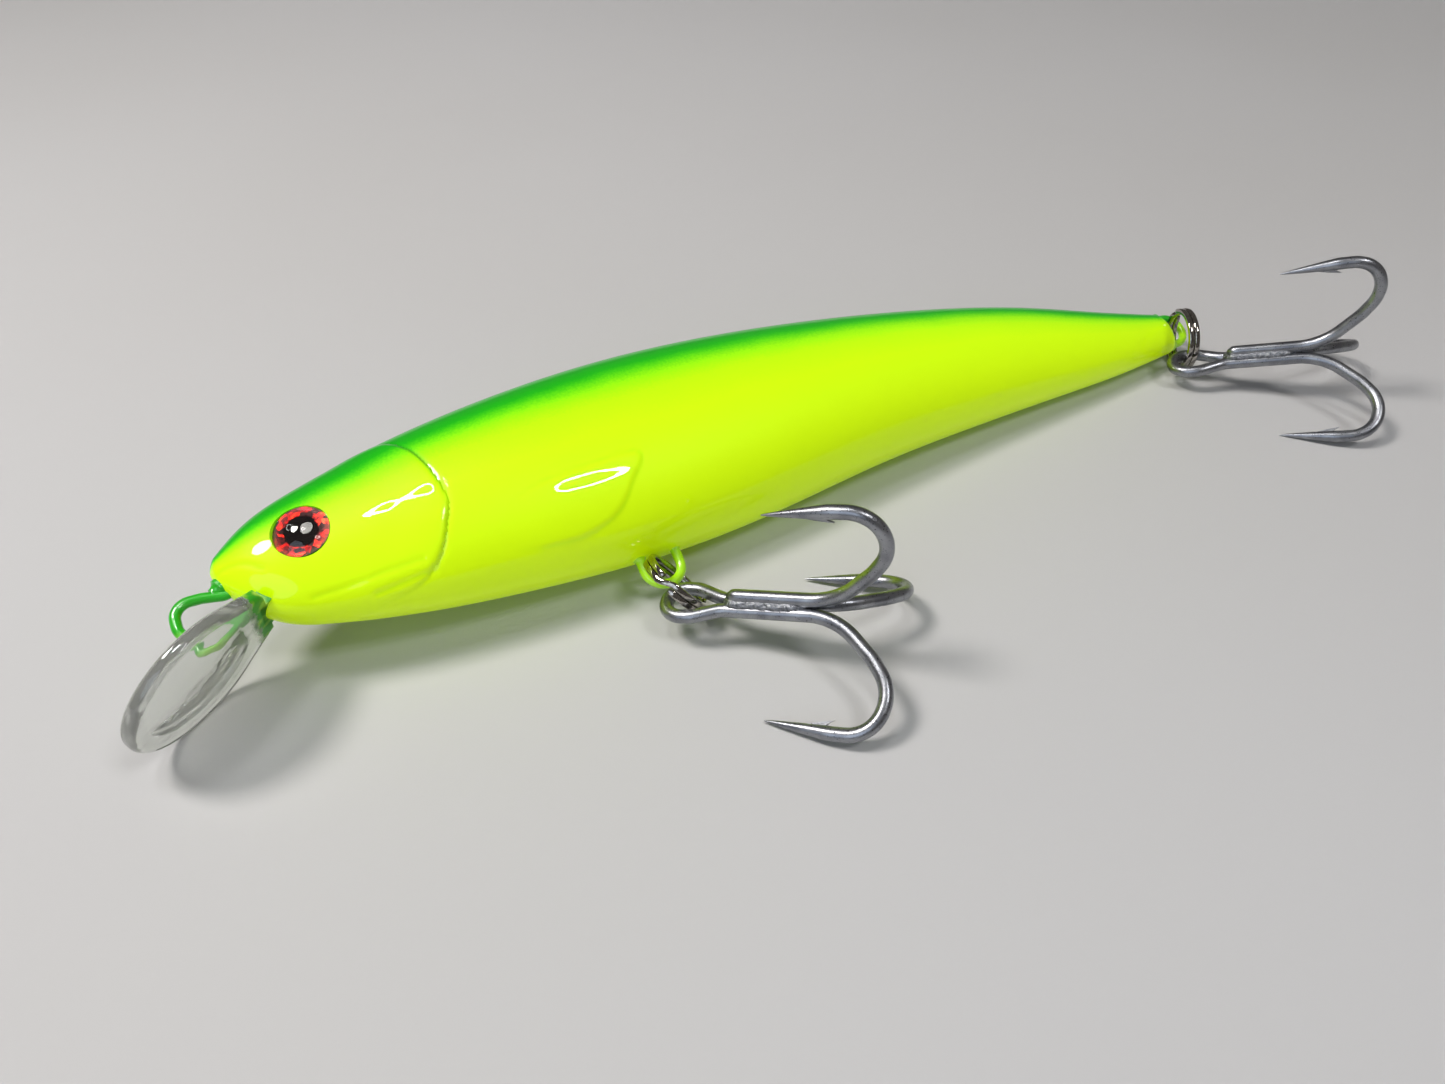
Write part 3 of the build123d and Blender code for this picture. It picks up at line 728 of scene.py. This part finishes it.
LIP_ANGLE = math.radians(35)
LIP_ROOT = Vector((8.0, 0, -4.0))
LIP_CENTRE = 15.0
LIP_RADIUS = 10.4
LIP_NECK = 4.0
LIP_NECK_WIDTH = 10.2
LIP_THICKNESS = 2.0
TONGUE_HALF_WIDTH = 3.0
TONGUE_DEPTH = 4.5
DISH_DEPTH = 0.9
DISH_RADIUS = 8.0
RIM_ROUND = 0.75


def lip_frame():
    """Row-frame placing of the lip: x out along it, y to the left, z to its under side."""
    forward = Vector((-math.cos(LIP_ANGLE), 0, -math.sin(LIP_ANGLE)))
    under = Vector((math.sin(LIP_ANGLE), 0, -math.cos(LIP_ANGLE)))
    turn = Matrix((forward, under.cross(forward), under)).transposed().to_4x4()
    return UPRIGHT @ Matrix.Translation(LIP_ROOT * MM) @ turn


def lip_outline(count=160):
    """Outline of the shovel: tangents from the neck's corners to the round front."""
    neck = np.array([LIP_NECK, LIP_NECK_WIDTH / 2])
    centre = np.array([LIP_CENTRE, 0.0])
    off = neck - centre
    reach = math.acos(LIP_RADIUS / np.linalg.norm(off))
    touch = math.atan2(off[1], off[0]) - reach
    front = [(LIP_CENTRE + LIP_RADIUS * math.cos(a), LIP_RADIUS * math.sin(a))
             for a in np.linspace(touch, -touch, count)]
    start, end = np.array(front[0]), np.array(front[-1])
    return np.array(straight(start, neck, 12)[::-1] + front + straight(end, neck * (1, -1), 12))


def inset_outline(outline, amount):
    """The outline drawn in by an amount, except at the root, where it stays on the neck line."""
    before, after = np.roll(outline, 1, 0), np.roll(outline, -1, 0)
    along = after - before
    along /= np.linalg.norm(along, axis=1)[:, None]
    inward = np.stack([along[:, 1], -along[:, 0]], 1)
    middle_point = outline.mean(0)
    flip = np.sign(((middle_point - outline) * inward).sum(1))
    moved = outline + inward * (flip * amount)[:, None]
    moved[0] = (LIP_NECK, outline[0][1] - amount)
    moved[-1] = (LIP_NECK, outline[-1][1] + amount)
    return moved


def lip_blade():
    """Blade with a rounded rim, flat faces and a dished upper face, and its tongue."""
    outline = lip_outline()
    half = LIP_THICKNESS / 2
    ball = (DISH_RADIUS ** 2 + DISH_DEPTH ** 2) / (2 * DISH_DEPTH)
    count = len(outline)
    rings = []
    for angle in np.linspace(-math.pi / 2, math.pi / 2, 13):
        inset = RIM_ROUND * (1 - math.cos(angle))
        level = math.copysign(half - RIM_ROUND, angle) + RIM_ROUND * math.sin(angle)
        rings.append(np.column_stack([inset_outline(outline, inset), np.full(count, level)]))
    faces = quads(len(rings), count)
    # each flat face is filled with rings that shrink towards the dish's middle
    shells = [np.concatenate(rings)]
    for sign, base in ((-1, 0), (1, (len(rings) - 1) * count)):
        edge = rings[0 if sign < 0 else -1][:, :2]
        start = base
        for share in np.linspace(1, 0.02, 34)[1:]:
            ring = np.array((LIP_CENTRE, 0)) + (edge - (LIP_CENTRE, 0)) * share
            level = np.full(count, sign * half)
            if sign < 0:
                from_centre = np.linalg.norm(ring - (LIP_CENTRE, 0), axis=1)
                bowl = ball - DISH_DEPTH - np.sqrt(np.maximum(ball ** 2 - from_centre ** 2, 0))
                level = level - np.minimum(bowl, 0)
            shells.append(np.column_stack([ring, level]))
            here = sum(len(s) for s in shells[:-1])
            for k in range(count):
                a, b, c, d = start + k, start + (k + 1) % count, here + (k + 1) % count, here + k
                faces.append((a, d, c, b) if sign > 0 else (a, b, c, d))
            start = here
        faces.append(tuple(range(start, start + count)))
    blade = (np.concatenate(shells), faces)
    block_low = (-TONGUE_DEPTH, -TONGUE_HALF_WIDTH, -half)
    block_high = (LIP_NECK + 1, TONGUE_HALF_WIDTH, half)
    corners = [(x, y, z) for x in (block_low[0], block_high[0]) for y in (block_low[1], block_high[1])
               for z in (block_low[2], block_high[2])]
    sides = [(0, 1, 3, 2), (4, 6, 7, 5), (0, 4, 5, 1), (2, 3, 7, 6), (0, 2, 6, 4), (1, 5, 7, 3)]
    return joined(blade, (corners, sides))


def near_root(points):
    """How close each point of the lip is to its root, for the frost and paint there."""
    return 1 - smooth_step((points[:, 0] - LIP_NECK) / 5.5)


def from_axis(points):
    """Distance of each point of a turned piece from its axis, in mm."""
    return np.linalg.norm(points[:, :2], axis=1)


# ================================================================ rings and hooks

RING_MID_RADIUS = 4.95
COIL_RADIAL = 0.9
COIL_AXIAL = 0.95
COIL_SQUARENESS = 0.55      # 1 is round wire, towards 0 is square
COIL_FILL = 0.96            # share of the pitch that the wire fills
BELLY_RING_FACING = Vector((0.786, 0.081, 0.613))
TAIL_RING_FACING = Vector((0.908, -0.414, 0.057))


def ring_frame(node, facing):
    """Placing of a split ring: the middle of its box is its centre."""
    turn = facing.normalized().to_track_quat("Z", "Y").to_matrix().to_4x4()
    return Matrix.Translation(middle(node)) @ turn


def double_coil(start_angle, turns=1.94, jog=0.5):
    """Flat spring wire wound nearly twice, crossing from one coil to the other over a short jog."""
    profile = []
    for angle in angles(20):
        c, s = math.cos(angle), math.sin(angle)
        profile.append((math.copysign(abs(c) ** COIL_SQUARENESS, c) * COIL_RADIAL / 2,
                        math.copysign(abs(s) ** COIL_SQUARENESS, s) * COIL_AXIAL / 2 * COIL_FILL))
    points = []
    steps = 300
    sweep = 2 * math.pi * turns
    for i in range(steps + 1):
        turn = sweep * i / steps
        cross = float(smooth_step((turn - math.pi * turns + jog / 2) / jog))
        level = COIL_AXIAL * (cross - 0.5)
        end = min(turn, sweep - turn)
        slim = 0.72 + 0.28 * min(1.0, end / 0.10)
        a = start_angle + turn
        for radial, axial in profile:
            r = RING_MID_RADIUS + radial * slim
            points.append((r * math.cos(a), r * math.sin(a), level + axial * slim))
    return capped(points, steps + 1, len(profile))


HOOK_WIRE = 1.9
EYE_WIDTH = 7.2
HOOK_SPLIT = 15.0
HOOK_BEND = 29.3
HOOK_GAPE = 16.9
HOOK_POINT = 12.8
POINT_LENGTH = 7.6
POINT_STRAIGHT = 1.0
POINT_LEAN = 0.1
TIP_RADIUS = 0.07
TAPER_BLEND = 0.4
TAPER_BULGE = 0.82
SHANK_FLARE = 5.5
BEND_CORNER = 2.6
BEND_SKEW = 1.6
EYE_NECK = 5.2
EYE_SHOULDER = 1.3
THIRD_HOOK_START = 6.0
NEAR = (HOOK_WIRE + 0.1) / math.sqrt(3)
HOOK_RADII = [9.0, 7.0, 5.5, 4.5, 6.0]
EYE_RADII = [4.0, 3.5]
BRAZE_MIDDLE = (THIRD_HOOK_START + HOOK_SPLIT) / 2


def centroid(node):
    """Area-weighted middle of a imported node's surface, in the row frame."""
    total, area = Vector(), 0.0
    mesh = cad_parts[node].data
    for face in mesh.polygons:
        total += face.center * face.area
        area += face.area
    return total / area


def hook_frame(place, heading, rise):
    """Placing of a treble: origin in its eye, shank along -z, third hook along y. The braze ties it down."""
    turn, climb = math.radians(heading), math.radians(rise)
    shank = Vector((math.cos(turn) * math.cos(climb), -math.sin(turn) * math.cos(climb), math.sin(climb)))
    level = Vector((-math.sin(turn), -math.cos(turn), 0))
    up = (-shank).cross(level)
    eye = centroid(place + "_hook_braze") - shank * BRAZE_MIDDLE * MM
    return Matrix.Translation(eye) @ Matrix((level, up, -shank)).transposed().to_4x4()


def hook_leg(angle):
    """Corners of one hook's centre line, from the straight shank round the bend to its point's root."""
    outer = HOOK_GAPE - HOOK_WIRE / 2
    low = HOOK_BEND - HOOK_WIRE / 2
    root = HOOK_POINT + POINT_LENGTH
    profile = [
        (HOOK_SPLIT + SHANK_FLARE, NEAR),
        (low - BEND_CORNER, NEAR + 2 * BEND_CORNER),
        (low, (NEAR + outer) / 2 + BEND_SKEW),
        (low - HOOK_WIRE, outer),
        (root + POINT_STRAIGHT, outer),
        (root, outer - POINT_LEAN * POINT_STRAIGHT),
    ]
    return [np.array((r * math.cos(angle), r * math.sin(angle), -s)) for s, r in profile]


def point_tip(angle):
    """Tip of one hook's point."""
    before, base = hook_leg(angle)[-2:]
    along = (base - before) / np.linalg.norm(base - before)
    return base + along * POINT_LENGTH


def needle(path, from_start, from_end):
    """Radius along a hook's wire: full, drawn to a slightly convex needle point at its pointed ends."""
    runs = lengths_along(path)
    full = HOOK_WIRE / 2
    radii = np.full(len(path), full)
    for wanted, far in ((from_start, runs), (from_end, runs[-1] - runs)):
        if wanted:
            share = np.clip(far / (POINT_LENGTH + TAPER_BLEND), 0, 1)
            radii = np.minimum(radii, TIP_RADIUS + (full - TIP_RADIUS) * share ** TAPER_BULGE)
    return radii


def barb(angle):
    """Sliver of wire cut up behind the point, on the side that faces the shank."""
    before, base = hook_leg(angle)[-2:]
    along = (base - before) / np.linalg.norm(base - before)
    inward = np.array((-math.cos(angle), -math.sin(angle), -POINT_LEAN))
    inward /= np.linalg.norm(inward)
    sideways = np.cross(inward, along)
    full = HOOK_WIRE / 2
    # height above the axis, place along it, half thickness
    outline = [(0.30, 2.6, 0.30), (0.66, 2.0, 0.36), (1.02, 0.9, 0.34), (1.42, -0.35, 0.22),
               (full + 0.78, -1.3, 0.05), (1.38, -0.75, 0.18), (1.02, -0.35, 0.30), (0.60, -0.1, 0.36),
               (0.30, 0.3, 0.30)]
    points = []
    for sign in (-1, 1):
        points += [base + inward * h + along * s + sideways * sign * w for h, s, w in outline]
    n = len(outline)
    faces = [tuple(range(n)), tuple(reversed(range(n, 2 * n)))]
    faces += [(k, (k + 1) % n, n + (k + 1) % n, n + k) for k in range(n)]
    return points, faces


def double_hook():
    """Two hooks and the eye, bent from one wire."""
    left, right = math.radians(210), math.radians(-30)
    neck = hook_leg(right)[0]
    half = (EYE_WIDTH - HOOK_WIRE) / 2
    eye = [(neck[0], -EYE_NECK), (half, -EYE_SHOULDER), (half, half)]
    rise = [np.array((x, neck[1], z)) for x, z in eye]
    fall = [np.array((-x, neck[1], z)) for x, z in reversed(eye)]
    corners = hook_leg(right)[::-1] + rise + fall + hook_leg(left)
    bends = EYE_RADII + [0.98 * half]
    path = rounded_path(corners, HOOK_RADII[::-1] + bends + bends[::-1] + HOOK_RADII)
    lead_in = straight(path[0], point_tip(right))[::-1]
    path = np.array(lead_in + list(path) + straight(path[-1], point_tip(left)))
    return joined(tube(path, needle(path, True, True), 28), barb(left), barb(right))


def single_hook():
    """The third hook, brazed into the groove of the other two."""
    angle = math.radians(90)
    leg = hook_leg(angle)
    start = np.array((leg[0][0], leg[0][1], -THIRD_HOOK_START))
    path = rounded_path([start] + leg, HOOK_RADII)
    path = np.array(list(path) + straight(path[-1], point_tip(angle)))
    # the cut end inside the braze is rounded over
    rounding = 0.35 + 0.6 * np.sqrt(np.clip(lengths_along(path) / 0.9, 0, 1))
    radii = np.minimum(needle(path, False, True), rounding)
    return joined(tube(path, radii, 28), barb(angle))


def braze_fill():
    """Solder run into the three grooves between the shanks, thinning out at both ends."""
    sides, rows = 72, 60
    points = []
    rng = np.random.default_rng(7)
    start, end = THIRD_HOOK_START - 0.6, HOOK_SPLIT + 2.2
    phases = rng.uniform(0, 2 * math.pi, (6, 2))
    for i in range(rows + 1):
        s = start + (end - start) * i / rows
        swell = min(1.0, (s - start) / 1.2, (end - s) / 2.6)
        swell = math.sqrt(max(swell, 0.02))
        for angle in angles(sides):
            lump = sum(math.sin((j + 2) * angle + 1.3 * (j + 1) * s + phases[j][0]) for j in range(4)) * 0.022
            groove = 0.5 - 0.5 * math.cos(3 * (angle - math.radians(90)))
            radius = (1.18 + 0.42 * groove + lump) * swell
            points.append((radius * math.cos(angle), radius * math.sin(angle), -s))
    return capped(points, rows + 1, sides)


CUFF_SINK = 0.6
CUFF_SKIRT = 0.1


def paint_collar(base, direction, radius=0.7, height=0.9, spread=1.5):
    """Lacquer drawn up where the wire leaves the body: a small flared cuff."""
    profile = [(0, -CUFF_SINK), (spread, -CUFF_SINK), (spread, -CUFF_SKIRT)]
    inner = radius + 0.03
    for t in np.linspace(0, 1, 11)[1:]:
        profile.append((inner + (spread - inner) * (1 - t) ** 2.6, (height + CUFF_SKIRT) * t - CUFF_SKIRT))
    profile += [(radius - 0.1, height), (0, height)]
    turn = Vector(direction).to_track_quat("Z", "Y").to_matrix().to_4x4()
    place = Matrix.Translation(base) @ turn
    points, faces = lathe(profile, 28)
    return [tuple(place @ Vector(p)) for p in points], faces


# ================================================================ the pieces

lacquer = lacquered_paint()
wire_lacquer = painted_wire_lacquer()
polycarbonate = moulded_polycarbonate()
foil = holographic_foil()
lens = cast_lens()
hook_steel = tinned_steel()
solder = brazed_solder()
nickel = nickel_wire()
lead = plain_metal("cast lead alloy", "54565A", "7B7D80", 0.55, 0.8)
bearing = plain_metal("ground bearing steel", "A9ABAD", "BFC0C2", 0.12, 0.3)

body = new_piece("painted_body", body_form(), UPRIGHT, "lure_body", lacquer,
                 ("left_body_shell", "right_body_shell"), 60)
for side_name in ("left", "right"):
    cut_seat(body, eye_frame(side_name))
refresh(body, 35)
paint_marks(body)

for side_name in ("left", "right"):
    new_piece(side_name + "_iris", foil_disc(), eye_frame(side_name), "lure_body", foil,
              (side_name + "_eye_foil",), marks={"radius": from_axis})
    dome = new_piece(side_name + "_lens", lens_dome(), eye_frame(side_name), "lure_body", lens,
                     (side_name + "_eye_lens",))
    dome.visible_shadow = False

new_piece("shovel_lip", lip_blade(), lip_frame(), "lure_body", polycarbonate,
          ("diving_lip",), 50, {"root": near_root})

# Where the wire leaves the body: the two legs of the belly hanger, the two of the tail loop, the line tie
tail_face = BODY_LENGTH - 0.1
collars = joined(
    paint_collar((52.6, 0, -13.75), (0, 0, -1)),
    paint_collar((58.0, 0, -13.3), (0, 0, -1)),
    paint_collar((tail_face, 0, 2.75), (1, 0, 0.05), height=0.8, spread=1.2),
    paint_collar((tail_face, 0, -2.75), (1, 0, -0.05), height=0.8, spread=1.1),
    paint_collar((0.45, 0, -2.15), (-0.85, 0, -0.55), spread=1.3),
)
new_piece("lacquer_cuffs", collars, UPRIGHT, "lure_body", wire_lacquer)

# Place, the ring's facing, the angle its wire starts at
for place, facing, start in (("belly", BELLY_RING_FACING, 2.2), ("tail", TAIL_RING_FACING, 0.8)):
    node = place + "_split_ring"
    new_piece(place + "_double_coil", double_coil(start), ring_frame(node, facing), place + "_ring",
              nickel, (node,), 60)

# Place, heading and rise of the treble's shank in degrees
for place, heading, rise in (("belly", 41.6, 10.1), ("tail", 38.4, 12.9)):
    treble = hook_frame(place, heading, rise)
    group = place + "_treble"
    new_piece(place + "_hook_pair", double_hook(), treble, group, hook_steel,
              (place + "_double_hook",), 60)
    new_piece(place + "_third_hook", single_hook(), treble, group, hook_steel,
              (place + "_single_hook",), 60)
    new_piece(place + "_solder", braze_fill(), treble, group, solder,
              (place + "_hook_braze",), 60)

for node, finish in (("through_wire", wire_lacquer), ("front_ballast", lead), ("rear_ballast", lead),
                     ("front_rattle_ball", bearing), ("middle_rattle_ball", bearing),
                     ("rear_rattle_ball", bearing)):
    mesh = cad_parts[node].data
    mesh.materials.clear()
    mesh.materials.append(finish)

# ================================================================ table, light and camera

TABLE_REACH = 3.0
table = placed("table_top", bpy.data.meshes.new("table_top"))
corners = [(x * TABLE_REACH, y * TABLE_REACH, 0) for x, y in ((-1, -1), (1, -1), (1, 1), (-1, 1))]
table.data.from_pydata(corners, [], [(0, 1, 2, 3)])
table.data.materials.append(lacquered_table())


def soft_light(name, toward, distance, size, power, colour):
    """A round area light that faces the lure from a direction in the row frame."""
    data = bpy.data.lights.new(name, "AREA")
    data.shape = "DISK"
    data.size = size
    data.energy = power
    data.color = linear(colour)[:3]
    lamp = placed(name, data)
    direction = Vector(toward).normalized()
    lamp.location = direction * distance
    lamp.rotation_euler = direction.to_track_quat("Z", "Y").to_euler()


def ring_lamp(name, toward, distance, radius, tube_radius, strength):
    """A glowing ring that faces the lure: it draws the ring-shaped glints in the lacquer."""
    made, _, shader = new_material("frosted lamp ring")
    set_sockets(shader, Emission_Strength=strength, Emission_Color=linear("FFFFFF"))
    direction = Vector(toward).normalized()
    facing = direction.to_track_quat("Z", "Y").to_matrix().to_4x4()
    place = Matrix.Translation(direction * distance) @ facing
    turns = np.linspace(0, 2 * math.pi, 49)
    path = np.stack([radius * np.cos(turns), radius * np.sin(turns), 0 * turns], 1)
    points, faces = tube(path, np.full(len(path), tube_radius), 8)
    mesh = bpy.data.meshes.new(name)
    mesh.from_pydata([place @ Vector(point) for point in points], [], faces)
    mesh.materials.append(made)
    placed(name, mesh)


# Distances and sizes in metres; power in watts for the soft lights, emission strength for the rings
soft_light("window", (-0.52, 0.24, 0.86), 0.62, 0.15, 2.5, "FFFAF5")
ring_lamp("ceiling_lamp", (0.24, -0.46, 0.85), 1.1, 0.085, 0.011, 75)
ring_lamp("desk_lamp", (-0.19, 0.05, 0.98), 1.1, 0.070, 0.010, 75)
soft_light("fill", (-0.9, -0.7, 0.7), 1.2, 0.9, 3.0, "DDEBFF")

world = bpy.data.worlds.new("room")
world.use_nodes = True
bpy.context.scene.world = world
world.node_tree.nodes["Background"].inputs["Color"].default_value = linear("E6E0DC")
world.node_tree.nodes["Background"].inputs["Strength"].default_value = 0.16

# The camera's place in mm and its directions, along the upright lure's axes
CAMERA_PLACE = Vector((8.7, -131.6, -63.9))
CAMERA_FORWARD = Vector((0.373, 0.870, 0.324)).normalized()
CAMERA_RIGHT = Vector((0.891, -0.237, -0.388))
right = (CAMERA_RIGHT - CAMERA_FORWARD * CAMERA_RIGHT.dot(CAMERA_FORWARD)).normalized()
up = right.cross(CAMERA_FORWARD)
camera = placed("camera", bpy.data.cameras.new("camera"))
camera.matrix_world = UPRIGHT @ Matrix.Translation(CAMERA_PLACE * MM) @ Matrix(
    (right, up, -CAMERA_FORWARD)).transposed().to_4x4()
camera.data.lens = 26.4
camera.data.sensor_width = 36
camera.data.clip_start = 0.005
bpy.context.scene.camera = camera
bpy.context.scene.view_settings.view_transform = "Standard"

bpy.context.view_layer.update()
